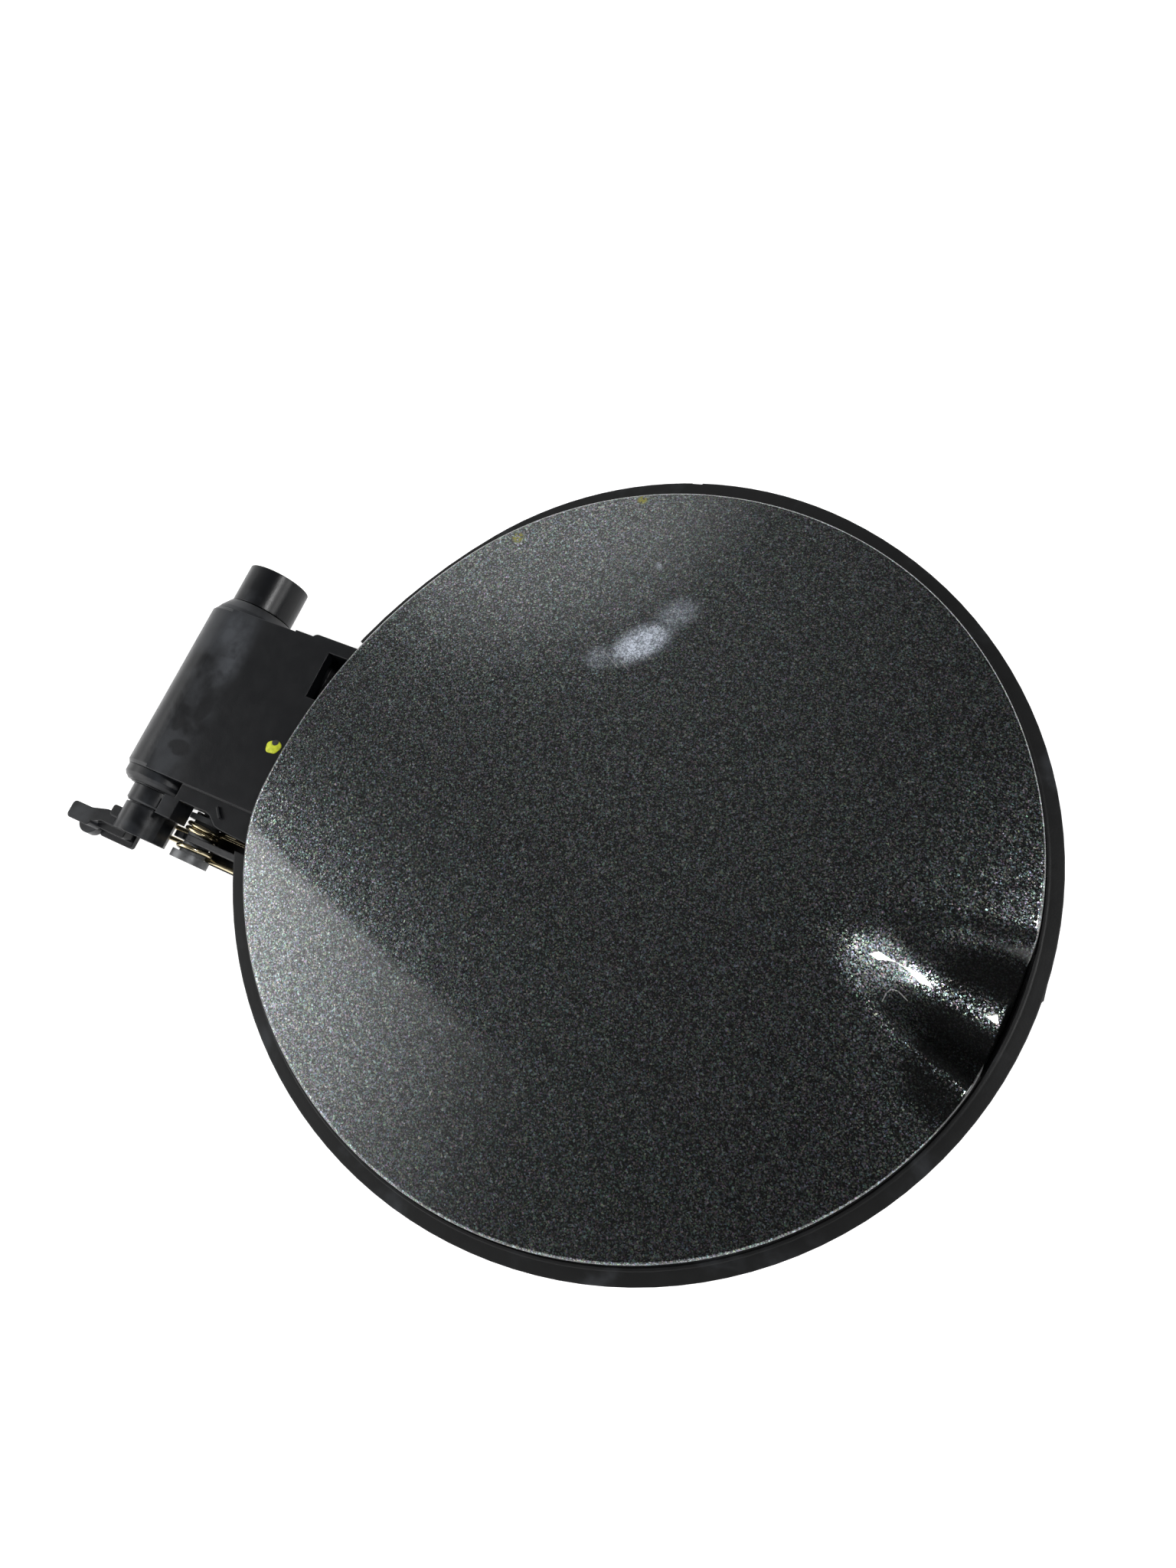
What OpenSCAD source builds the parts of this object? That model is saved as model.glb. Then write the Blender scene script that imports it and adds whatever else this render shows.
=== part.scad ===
// Round car fuel door: painted lid on a moulded inner panel, carried by a hinge arm
// whose barrel turns on a fixed crank shaft.
// The origin is on the hinge axis at the barrel's middle, +X points from the hinge to the
// lid, +Y runs along the hinge axis to the capped end and +Z is the lid's outward side.

/* [Lid] */
// Radius of the lid's main round edge
lid_radius = 85; // [80:0.5:95]
// Distance from the hinge axis to the lid's main round edge
lid_gap = 31.5; // [31:0.5:40]
// Offset of the lid's centre along the hinge axis
lid_y = 4.4; // [0:0.2:8]
// Height of the lid's edge above the hinge axis
edge_z = 15; // [14.5:0.1:18]
// Rise of the lid's middle above its edge
crown = 5; // [3:0.5:8]
// Thickness of the painted skin
skin_t = 1; // [0.8:0.1:1.4]
// Depth of the skin's turned-down edge
hem = 2.6; // [2.2:0.1:3]
// Radius of the flatter arc on the hinge side
flat_radius = 124; // [115:1:150]

/* [Finger recess] */
// Direction of the recess from the lid's centre, in degrees
recess_angle = -3.5; // [-10:0.5:10]
// Length of the recess, inwards from the lid's edge
recess_len = 34; // [30:1:38]
// Depth of the recess at the lid's edge
recess_depth = 6.2; // [4.5:0.1:6.8]
// Radius of the recess cone where it starts
recess_small_r = 12.5; // [10:0.5:14]
// Half angle of the recess cone
recess_half = 18; // [14:1:20]

/* [Inner panel] */
// Width of the black flange outside the skin
flange_margin = 4; // [2.5:0.1:4.5]
// Gap between the skin's lower edge and the flange
shadow_gap = 1; // [0.6:0.1:1.4]
// Thickness of the flange
flange_t = 2; // [1.6:0.1:2.2]
// Thickness of the panel's floor
floor_t = 1.8; // [1.5:0.1:2]

/* [Hinge barrel] */
// Thickness of the barrel's wall around the bushes
barrel_wall = 2; // [1.8:0.1:2.6]
// Thickness of the bushes around the shaft
bush_wall = 2.8; // [2.6:0.1:3.2]
// Length of the barrel
barrel_len = 44.8; // [40:0.2:50]
// Thickness of the arm's top plate
arm_t = 3; // [2.5:0.1:3.5]

/* [Crank shaft] */
// Radius of the shaft inside the bushes
shaft_r = 6.2; // [5.8:0.1:6.6]
// Radius of the mounting bore through the shaft
pivot_bore_r = 3; // [2.5:0.1:3.5]
// Radius of the lower journal
boss_r = 7.1; // [7:0.1:7.4]
// Radius of the lever's hub, where it is round
hub_r = 6.7; // [6.4:0.1:6.7]
// Length of the lever's hub
hub_len = 7.1; // [6.5:0.1:8]
// Radius of the upper journal on the cap
cap_r = 8; // [7.6:0.1:8.3]
// Length of the upper journal
cap_len = 10.2; // [8:0.1:12]
// How far the hub's flats lie under its round part
detent_depth = 0.3; // [0.2:0.05:0.4]
// Angle the lid opens to
open_angle = 95; // [85:1:100]

/* [Detent spring] */
// Radius of the spring wire
wire_r = 0.6; // [0.5:0.05:0.7]
// Distance from the hinge axis to the spring post
post_x = 13.8; // [13.6:0.1:15]
// Radius of the coils to the wire's centre
coil_r = 3.95; // [3.8:0.05:4.2]

/* [Latch catch] */
// Width of the catch's leg and foot
catch_w = 18; // [14:1:24]
// Radius of the catch's rounded foot
foot_r = 3; // [2.5:0.1:3.5]

/* [Hidden] */

$fn = 72;
fit_gap = 0.05;
body_gap = 0.3;

// Radii about the hinge axis
barrel_bore_r = shaft_r + bush_wall;
barrel_r = barrel_bore_r + barrel_wall;
washer_r = shaft_r + 1.8;

// The lid's centre and the heights of its layers
lid_x = lid_radius + lid_gap;
dome_r = (lid_radius * lid_radius + crown * crown) / (2 * crown);
dome_z = edge_z + crown - dome_r;
hem_z = edge_z - hem;
flange_top = hem_z - shadow_gap;
flange_low = flange_top - flange_t;
floor_top = edge_z - skin_t - 0.2;
floor_low = floor_top - floor_t;
arm_top = barrel_r;
arm_low = arm_top - arm_t;

// Recess cone: its lowest line runs straight from the dome down to the lid's edge
recess_start = lid_radius - recess_len;
recess_start_z = dome_top(recess_start);
recess_fall = atan((recess_start_z - edge_z + recess_depth) / (lid_radius - recess_start));
recess_rise = recess_half - recess_fall;
dish_t = 1.4;

// Stations along the hinge axis
barrel_end = barrel_len / 2;
bush_len = 10;
cone_len = 3.5;
washer_t = 0.6;
washer_y = -barrel_end - cone_len - body_gap;
boss_end = -barrel_end - 8.2;
hub_end = boss_end - 0.4 - hub_len;
cap_y = barrel_end + cone_len + body_gap;
cap_end = cap_y + cap_len;
spigot_r = shaft_r - 1;
spigot_end = cap_y + 5;
cap_wall = 1.1;
cap_web_y = spigot_end + 0.3;
cap_web_t = 1.2;
ring_seat_y = cap_y + 2.8;
ring_t = 0.8;
ring_in = spigot_r - 0.75;
ring_out = spigot_r + 0.65;

// Spring post and coils
post_z = -(hub_r + wire_r + fit_gap) + coil_r + detent_depth;
post_r = 2;
ear_t = 1.6;
ear_y = -barrel_end - 10.8;
ear_r = 3.9;
sleeve_r = coil_r - wire_r - 0.1;
coil_pitch = 2 * wire_r + 0.1;
upper_turns = 2;
lower_turns = 1;
upper_coil_y = ear_y + ear_t / 2 + wire_r + 0.1;
lower_coil_y = ear_y - ear_t / 2 - wire_r - 0.1;
upper_leg_y = upper_coil_y + upper_turns * coil_pitch;
lower_leg_y = lower_coil_y - lower_turns * coil_pitch;
head_y = lower_leg_y - wire_r - 0.15;
head_t = 2;
clip_y = upper_leg_y + wire_r + 1.5;
leg_z = post_z - coil_r;
leg_end = 41;
bridge_x = -5;
bridge_r = 1.2;

// Screw places, on the arm and on the catch
screw_r = 2;
insert_r = 3;
insert_len = 2.4;
arm_screw_x = [50, 68];
arm_screw_y = [-14, 14];
catch_x = lid_radius - 13;
catch_y = 24;
catch_top = 7;
catch_t = 2.6;
catch_low = catch_top - catch_t;

// Arcs of the lid's outline, from the lid's centre. The main arc passes into a slightly
// larger one at lower left; on the hinge side two blends join both to a flat arc.
main_c = [0, 0];
left_grow = 2.6;
left_join = -80;
left_c = -left_grow * [cos(left_join), sin(left_join)];
left_radius = lid_radius + left_grow;
flat_c = [flat_radius - lid_radius + 2, -19.1];
upper_blend_r = lid_radius - 5.5;
corner_blend_r = 38;
flange_blend_r = lid_radius - 6.5;
upper_b = blend_centre(main_c, lid_radius, flat_c, flat_radius, upper_blend_r, 1);
corner_b = blend_centre(left_c, left_radius, flat_c, flat_radius, corner_blend_r, -1);

function bearing(v) = let (a = atan2(v[1], v[0])) a < left_join ? a + 360 : a;

function arc(c, r, a0, a1) =
    let (n = ceil((a1 - a0) / 3))
    [for (i = [0:n - 1]) let (a = a0 + (a1 - a0) * i / n) c + r * [cos(a), sin(a)]];

function outline_points(g) =
    let (
        a1 = bearing(upper_b - main_c),
        a2 = bearing(upper_b - flat_c),
        a3 = bearing(corner_b - flat_c),
        a4 = bearing(corner_b - left_c)
    )
    concat(
        arc(main_c, lid_radius + g, left_join, a1),
        arc(upper_b, upper_blend_r + g, a1, a2),
        arc(flat_c, flat_radius + g, a2, a3),
        arc(corner_b, corner_blend_r + g, a3, a4),
        arc(left_c, left_radius + g, a4, left_join + 360)
    );

// The flange stays round further than the skin does, and passes into it on the hinge side
function flange_points(g, hinge_g) =
    let (
        b = blend_centre(main_c, lid_radius + g, flat_c, flat_radius + hinge_g, flange_blend_r, 1),
        c = blend_centre(left_c, left_radius + g, flat_c, flat_radius + hinge_g, corner_blend_r, -1),
        a1 = bearing(b - main_c),
        a2 = bearing(b - flat_c),
        a3 = bearing(c - flat_c),
        a4 = bearing(c - left_c)
    )
    concat(
        arc(main_c, lid_radius + g, left_join, a1),
        arc(b, flange_blend_r, a1, a2),
        arc(flat_c, flat_radius + hinge_g, a2, a3),
        arc(c, corner_blend_r, a3, a4),
        arc(left_c, left_radius + g, a4, left_join + 360)
    );

function dome_top(x) = dome_z + sqrt(dome_r * dome_r - x * x);
function unit2(v) = v / norm(v);

// Centre of a circle of radius r that touches two circles from inside; side picks which one
function blend_centre(c1, r1, c2, r2, r, side) =
    let (
        d = norm(c2 - c1),
        a = r1 - r,
        b = r2 - r,
        u = unit2(c2 - c1),
        s = (a * a - b * b + d * d) / (2 * d),
        h = sqrt(max(0, a * a - s * s))
    )
    c1 + u * s + side * h * [-u[1], u[0]];

// Flat helpers
module lid_outline(g = 0) {
    polygon(outline_points(g));
}

module flange_outline() {
    polygon(flange_points(flange_margin, flange_margin - 0.7));
}

// Solid helpers
module at_lid() {
    translate([lid_x, lid_y, 0]) children();
}

module slab(z0, z1) {
    translate([0, 0, z0]) linear_extrude(height = z1 - z0) children();
}

module dome_solid(g = 0) {
    translate([0, 0, dome_z]) sphere(r = dome_r + g, $fn = 240);
}

// Cylinder or cone along the hinge axis
module rod_y(r, y0, y1, r2 = undef) {
    translate([0, y0, 0])
        rotate([-90, 0, 0])
            cylinder(r1 = r, r2 = is_undef(r2) ? r : r2, h = y1 - y0);
}

module ring_y(outer, inner, y0, y1) {
    difference() {
        rod_y(outer, y0, y1);
        rod_y(inner, y0 - 1, y1 + 1);
    }
}

module at_post() {
    translate([post_x, 0, post_z]) children();
}

// The finger recess as a solid: a cone that lies outwards, its lowest line falling to the edge
module recess_solid(g = 0) {
    back = 15;
    ahead = 62;
    grow = g / cos(recess_half);
    widen = tan(recess_half);
    rotate([0, 0, recess_angle])
        translate([recess_start - recess_small_r * sin(recess_rise), 0,
            recess_start_z + recess_small_r * cos(recess_rise)])
            rotate([0, 90 - recess_rise, 0])
                translate([0, 0, -back])
                    cylinder(r1 = recess_small_r - back * widen + grow,
                        r2 = recess_small_r + ahead * widen + grow, h = back + ahead, $fn = 180);
}

// One sheet: the crowned top, its turned-down edge and the pressed recess, all skin_t thick
module outer_skin() {
    low = edge_z - recess_depth - 5;
    high = edge_z + crown + 2;
    color([0.16, 0.165, 0.17])
        at_lid()
            difference() {
                intersection() {
                    slab(low, high) lid_outline();
                    dome_solid();
                }
                difference() {
                    union() {
                        intersection() {
                            slab(low - 1, high) lid_outline(-skin_t);
                            dome_solid(-skin_t);
                        }
                        slab(low - 1, hem_z) square(3 * lid_radius, center = true);
                    }
                    recess_solid(skin_t);
                }
                recess_solid();
            }
}

clip_angles = [50, 95, 140, 222, 262, 302];

module skin_clips() {
    color([0.55, 0.56, 0.58])
        at_lid()
            slab(hem_z + 0.1, edge_z - skin_t - 0.3)
                for (a = clip_angles)
                    intersection() {
                        difference() {
                            lid_outline(-skin_t - 0.08);
                            lid_outline(-skin_t - 0.52);
                        }
                        rotate(a) translate([lid_radius - 25, -4]) square([40, 8]);
                    }
}

pad_dist = lid_radius - 43;
pad_places = [[0, pad_dist], [0, -pad_dist], [-pad_dist, 0], [recess_start - 21, 0]];

module bond_pads() {
    pad_r = 9;
    color([0.12, 0.12, 0.12])
        at_lid()
            for (p = pad_places)
                translate([p[0], p[1], floor_top + fit_gap])
                    cylinder(r = pad_r, h = dome_top(norm(p) + pad_r) - skin_t - floor_top - 2 * fit_gap);
}

stop_angles = [62, -62];
stop_dist = lid_radius - 8;

bead_in = 0.5;

// Space of the skin's recess inside the flange's bead
module recess_room() {
    intersection() {
        recess_solid(skin_t + body_gap);
        slab(flange_low - 6, edge_z + crown) lid_outline(bead_in);
    }
}

module inner_panel() {
    wall_t = 1.8;
    wall_in = skin_t + 0.6;
    flange_in = 14;
    rib_t = 1.6;
    boss_r2 = 5;
    ring_r = lid_radius - 43;
    color([0.06, 0.065, 0.07])
        difference() {
            at_lid()
                union() {
                    // flange outside the skin, carried inwards under the floor
                    slab(flange_low, flange_top)
                        difference() {
                            flange_outline();
                            lid_outline(-flange_in);
                        }
                    // wall between flange and floor
                    slab(flange_low, floor_top)
                        difference() {
                            lid_outline(-wall_in);
                            lid_outline(-wall_in - wall_t);
                        }
                    slab(floor_low, floor_top) lid_outline(-wall_in);
                    // bead on the flange beside the skin
                    slab(flange_top - 0.1, flange_top + 0.5)
                        difference() {
                            lid_outline(bead_in + 0.7);
                            lid_outline(bead_in);
                        }
                    // stiffening rings and spokes under the floor
                    slab(flange_low, floor_low + 0.1)
                        difference() {
                            circle(r = ring_r + rib_t);
                            circle(r = ring_r);
                        }
                    slab(flange_low, floor_low + 0.1)
                        for (a = [35, 90, 270, 325])
                            rotate(a) translate([ring_r, -rib_t / 2]) square([lid_radius - 14 - ring_r, rib_t]);
                    // catch bosses
                    for (s = [-1, 1])
                        translate([catch_x, s * catch_y, catch_top])
                            cylinder(r = boss_r2, h = floor_low - catch_top + 0.1);
                }
            // seat for the arm on the hinge side
            translate([lid_gap - 10, -barrel_end - 9.6, 0]) {
                cube([60, barrel_len + 12.7, arm_top + 0.2]);
                cube([16, barrel_len + 12.7, flange_top + 0.6]);
            }
            // room for the pressed recess
            at_lid() recess_room();
            // pockets for the threaded inserts
            at_inserts() translate([0, 0, -0.1]) cylinder(r = insert_r, h = insert_len + 0.15);
            // holes for the stems of the stops
            at_lid()
                for (a = stop_angles)
                    rotate(a) translate([stop_dist, 0, 0]) cylinder(r = 2 + fit_gap, h = edge_z);
            // small nick in the flange's outer edge
            at_lid()
                rotate(102.5)
                    translate([lid_radius + flange_margin - 1.2, -1.2, flange_top - 0.8]) cube([4, 2.4, 2]);
        }
    // dish that follows the pressed recess, closed towards the lid's edge
    color([0.06, 0.065, 0.07])
        at_lid()
            difference() {
                intersection() {
                    recess_solid(skin_t + body_gap + dish_t);
                    slab(flange_low - 6, flange_top) lid_outline(bead_in + dish_t);
                    translate([recess_start - 1, -60, 0]) cube([60, 120, 40]);
                }
                recess_room();
            }
    // seats that the arm is screwed against
    color([0.06, 0.065, 0.07])
        for (x = arm_screw_x, y = arm_screw_y)
            difference() {
                translate([x, y, arm_top]) cylinder(r = boss_r2, h = floor_low - arm_top + 0.1);
                translate([x, y, arm_top - 0.1]) cylinder(r = insert_r, h = insert_len + 0.15);
            }
}

// Each insert's lower face: on the arm's top, and on the catch's top
module at_inserts() {
    for (x = arm_screw_x, y = arm_screw_y)
        translate([x, y, arm_top]) children();
    for (s = [-1, 1])
        translate([lid_x + catch_x, lid_y + s * catch_y, catch_top]) children();
}

module panel_inserts() {
    color([0.72, 0.6, 0.3])
        at_inserts()
            difference() {
                cylinder(r = insert_r - fit_gap, h = insert_len);
                translate([0, 0, -1]) cylinder(r = screw_r + fit_gap, h = insert_len + 2);
            }
}

module screw(top, head_top) {
    head_r = 3.8;
    head_h = 2.2;
    difference() {
        union() {
            translate([0, 0, head_top - head_h]) cylinder(r = head_r, h = head_h);
            translate([0, 0, head_top - 0.1]) cylinder(r = screw_r, h = top - head_top + 0.1);
        }
        translate([0, 0, head_top - head_h - 1]) cylinder(r = 1.7, h = 2.3, $fn = 6);
    }
}

module arm_screws() {
    color([0.35, 0.36, 0.37])
        for (x = arm_screw_x, y = arm_screw_y)
            translate([x, y, 0]) screw(arm_top + insert_len, arm_low);
}

module catch_screws() {
    color([0.35, 0.36, 0.37])
        for (s = [-1, 1])
            translate([lid_x + catch_x, lid_y + s * catch_y, 0]) screw(catch_top + insert_len, catch_low);
}

module hinge_arm() {
    plate_end = 76;
    rib_t = 2.4;
    side = barrel_end;
    window = [30.2, 8.1];
    window_size = [14, 12.1];
    tray_x = 14.5;
    nose_r = 2.4;
    nose_x = hub_r + body_gap + nose_r;
    color([0.07, 0.075, 0.08])
        difference() {
            union() {
                // barrel with chamfered ends
                rod_y(barrel_r, -barrel_end + 0.8, barrel_end - 0.8);
                rod_y(barrel_r - 0.5, -barrel_end, -barrel_end + 0.9, barrel_r);
                rod_y(barrel_r, barrel_end - 0.9, barrel_end, barrel_r - 0.5);
                // top plate, flush with the barrel, and its wider part under the lid
                slab(arm_low, arm_top)
                    polygon([[0, -side], [0, side], [plate_end, side], [plate_end, -side]]);
                // shoulder on the capped side
                translate([25.5, side - 2, arm_low - 5]) cube([48.5, 3.2, arm_t + 5]);
                translate([25.5, side - 0.4, arm_low - 5]) cylinder(r = 1.6, h = arm_t + 5);
                translate([19, side - 2, arm_low - 5]) cube([5, 2.4, arm_t + 5]);
                // lower step with the block beside the boss, flaring out to the ear
                translate([0, 0, arm_low - 5])
                    linear_extrude(height = 5 + arm_t - 1.2)
                        translate([0, -side])
                            polygon([[10.8, 1], [10.8, -3.8], [7.8, -3.8], [7.8, -8.9], [12.2, -8.9],
                                [12.2, -4], [20.2, -4], [21.6, -4.4], [24, -6.2], [25.5, -6.5],
                                [34, -7], [46, -7], [46, 1]]);
                // tray behind the spring, and the wall that it hangs from
                translate([tray_x, lower_leg_y - 0.9, leg_z - 2.8])
                    cube([leg_end + 1.5 - tray_x, -side - 2.1 - lower_leg_y + 0.9, 1.6]);
                translate([tray_x + 5, -side - 3.6, leg_z - 2.8])
                    cube([leg_end - 3.5 - tray_x, 1.5, arm_low - 4.9 - leg_z + 2.8]);
                // small rib on the step
                translate([22.5, -side - 2.1, arm_top - 1.4]) rotate(-48) cube([3, 0.7, 0.9]);
                // ribs that run from the barrel under the plate
                for (y = [4.4 - side, 0, 5, side - 1.4])
                    translate([0, y - rib_t / 2, 0])
                        rotate([90, 0, 0])
                            translate([0, 0, -rib_t])
                                linear_extrude(height = rib_t)
                                    polygon([[3, -2], [3, arm_low + 1], [plate_end, arm_low + 1],
                                        [plate_end, arm_low - 1.5], [44, arm_low - 4]]);
                // floor of the pocket beside the lid's edge
                translate([26, 5, 1.5]) cube([22, 17, 1.6]);
                translate([26, 5, 1.5]) cube([2, 17, arm_low - 1]);
                translate([46, 5, 1.5]) cube([2, 17, arm_low - 1]);
                // ear that carries the spring post, with the web that joins it to the plate
                translate([post_x, ear_y - ear_t / 2, post_z])
                    rotate([-90, 0, 0]) cylinder(r = ear_r, h = ear_t);
                translate([0, ear_y - ear_t / 2, 0])
                    rotate([90, 0, 0])
                        translate([0, 0, -ear_t])
                            linear_extrude(height = ear_t)
                                polygon([[post_x, post_z - ear_r], [post_x, post_z + ear_r],
                                    [32, arm_low - 4.5], [36, arm_low], [46, arm_low],
                                    [46, leg_z + 1], [leg_end - 3.5, leg_z + 1], [26, post_z - ear_r]]);
                translate([36, ear_y, arm_low - 3]) cube([10, -ear_y - side + 2, 3.5]);
                // ear's rounded nose beside the hub
                translate([nose_x, ear_y - ear_t / 2, post_z]) {
                    rotate([-90, 0, 0]) cylinder(r = nose_r, h = ear_t);
                    translate([0, 0, -nose_r]) cube([post_x - nose_x, ear_t, 2 * nose_r]);
                }
                // comb that the spring's long legs are held in
                translate([leg_end - 3.5, lower_leg_y - 1.6, leg_z - 1.6])
                    cube([5, upper_leg_y - lower_leg_y + 3.2, 3.6]);
            }
            // bore for the bushes
            rod_y(barrel_bore_r, -barrel_end - 1, barrel_end + 1);
            // pocket
            translate([window[0], window[1], 3.1]) cube([window_size[0], window_size[1], 20]);
            // screw holes
            for (x = arm_screw_x, y = arm_screw_y)
                translate([x, y, -5]) {
                    cylinder(r = screw_r + 0.2, h = 30);
                    cylinder(r = 4.2, h = arm_low + 5);
                }
            // post hole and leg grooves
            at_post() rod_y(post_r + fit_gap, ear_y - 3, ear_y + 3);
            for (y = [upper_leg_y, lower_leg_y])
                translate([leg_end - 5, y, leg_z]) rotate([0, 90, 0]) cylinder(r = wire_r + fit_gap, h = 5.4);
        }
}

// Bush at the +Y end: sleeve in the barrel, and the shoulder outside it, given as
// [distance from the barrel's end, radius]
module bush(shoulder) {
    difference() {
        union() {
            rod_y(barrel_bore_r - fit_gap, barrel_end - bush_len, barrel_end + 0.1);
            for (i = [0:len(shoulder) - 2])
                rod_y(shoulder[i][1], barrel_end + shoulder[i][0], barrel_end + shoulder[i + 1][0], shoulder[i + 1][1]);
        }
        rod_y(shaft_r + fit_gap, 0, barrel_end + cone_len + 1);
    }
}

module upper_bush() {
    color([0.09, 0.095, 0.1])
        bush([[0.02, barrel_r - 0.6], [1.2, barrel_r - 1.1], [cone_len, cap_r + 0.4]]);
}

// The lower bush hides the thrust washer in its end
module lower_bush() {
    color([0.09, 0.095, 0.1])
        difference() {
            mirror([0, 1, 0])
                bush([[0.02, barrel_r - 0.6], [2, barrel_r - 0.6], [2.8, barrel_r - 1.1], [cone_len, washer_r + 1]]);
            rod_y(washer_r + body_gap, washer_y - 1, washer_y + washer_t + body_gap);
        }
}

module thrust_washer() {
    color([0.6, 0.6, 0.6])
        ring_y(washer_r, shaft_r + fit_gap, washer_y, washer_y + washer_t);
}

// Rectangle with rounded corners
module rounded(low, high, r) {
    translate([low[0] + r, low[1]]) square([high[0] - low[0] - 2 * r, high[1] - low[1]]);
    translate([low[0], low[1] + r]) square([high[0] - low[0], high[1] - low[1] - 2 * r]);
    for (x = [low[0] + r, high[0] - r], y = [low[1] + r, high[1] - r])
        translate([x, y]) circle(r = r);
}

module crank_shaft() {
    tab_y = hub_end - 2.5;
    tab_top = hub_end + 2;
    lever_top = hub_end + 3.2;
    color([0.07, 0.075, 0.08])
        difference() {
            union() {
                // shaft in the barrel, spigot for the cap
                rod_y(shaft_r, washer_y - 0.1, cap_y);
                rod_y(spigot_r, cap_y - 0.1, spigot_end);
                // lower journal with a chamfered lower edge
                rod_y(boss_r, boss_end + 0.5, washer_y);
                rod_y(boss_r - 0.5, boss_end, boss_end + 0.55, boss_r);
                rod_y(hub_r - 0.6, boss_end - 0.5, boss_end + 0.05);
                // hub with two detent flats
                intersection() {
                    rod_y(hub_r, hub_end, boss_end - 0.4);
                    hub_flats();
                }
                // square tab, the neck that rises from it, and the step at the hub
                slab(-2.6, 2.2) {
                    rounded([-20.4, tab_y], [-13.2, tab_top], 1.1);
                    polygon([[-14.6, tab_y + 0.9], [-10.8, hub_end - 0.1], [-2, hub_end], [-2, lever_top],
                        [-10.1, lever_top], [-14.6, tab_top]]);
                }
                slab(-3, 2.8) rounded([-8.8, lever_top - 1], [-3, lever_top + 1.8], 0.7);
                // foot under the tab, and the lug under the lever
                slab(-5.4, -2.5) translate([-17, tab_y + 1.2]) circle(r = 3);
                slab(-5.4, -3.9) rounded([-13.6, tab_y - 0.9], [-3.4, hub_end + 0.9], 0.8);
                slab(-5.4, 0) rounded([-12.6, tab_y + 0.6], [-4, hub_end + 1], 0.6);
            }
            rod_y(pivot_bore_r, hub_end - 5, spigot_end + 1);
            ring_y(shaft_r + 1, ring_in - fit_gap, ring_seat_y - 0.05, ring_seat_y + ring_t + 0.05);
        }
}

// Keeps the hub inside two flats: one faces the legs when shut, the other when fully open
module hub_flats() {
    size = 40;
    depth = hub_r - detent_depth;
    intersection() {
        translate([-size / 2, -60, -depth]) cube([size, 60, size]);
        rotate([0, -open_angle, 0]) translate([-size / 2, -60, -depth]) cube([size, 60, size]);
    }
}

module shaft_cap() {
    color([0.08, 0.085, 0.09])
        difference() {
            rod_y(cap_r, cap_y, cap_end);
            rod_y(spigot_r + fit_gap, cap_y - 1, cap_web_y);
            rod_y(ring_out + 0.1, ring_seat_y - 0.05, ring_seat_y + ring_t + 0.05);
            rod_y(cap_r - cap_wall, cap_web_y + cap_web_t, cap_end + 1);
            rod_y(pivot_bore_r, cap_y - 1, cap_end + 1);
        }
}

// Split ring that locks the cap on the shaft's spigot
module shaft_clip() {
    color([0.5, 0.5, 0.52])
        difference() {
            ring_y(ring_out, ring_in, ring_seat_y, ring_seat_y + ring_t);
            translate([-1.2, ring_seat_y - 1, 0]) cube([2.4, 3, 10]);
        }
}

module spring_post() {
    post_end = clip_y + 1.9;
    color([0.45, 0.46, 0.48])
        at_post()
            difference() {
                union() {
                    rod_y(post_r, head_y - 0.1, post_end);
                    rod_y(4.8, head_y - head_t, head_y);
                }
                ring_y(post_r + 1, post_r - 0.5, clip_y, clip_y + 0.75);
            }
}

module coil_sleeves() {
    flange_r = 4.8;
    top_y = upper_leg_y + wire_r + 0.1;
    color([0.42, 0.43, 0.44])
        at_post() {
            ring_y(sleeve_r, post_r + fit_gap, ear_y + ear_t / 2 + 0.05, top_y + 0.1);
            ring_y(flange_r, post_r + fit_gap, top_y, clip_y - 0.05);
            ring_y(sleeve_r, post_r + fit_gap, head_y + 0.05, ear_y - ear_t / 2 - 0.05);
        }
}

module post_clip() {
    color([0.3, 0.3, 0.32])
        at_post()
            difference() {
                rod_y(3.6, clip_y + 0.05, clip_y + 0.7);
                rod_y(post_r - 0.45, clip_y - 1, clip_y + 2);
                translate([-1.5, clip_y - 1, 0]) cube([3, 3, 6]);
            }
}

// Path of one half of the spring: side 1 is above the ear, side -1 below it
function half_path(side, turns) =
    let (
        y_in = side > 0 ? upper_coil_y : lower_coil_y,
        steps = 24
    )
    concat(
        [for (a = [0:22.5:90])
            [bridge_x + bridge_r * (1 - sin(90 - a)), y_in - side * bridge_r * (1 - sin(a)), leg_z]],
        [for (i = [0:steps * turns])
            let (a = i * 360 / steps)
            [post_x + coil_r * sin(a), y_in + side * coil_pitch * i / steps, post_z - coil_r * cos(a)]],
        [[leg_end, y_in + side * coil_pitch * turns, leg_z]]
    );

function reversed(v) = [for (i = [len(v) - 1:-1:0]) v[i]];

function wire_path() = concat(reversed(half_path(-1, lower_turns)), half_path(1, upper_turns));

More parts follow.
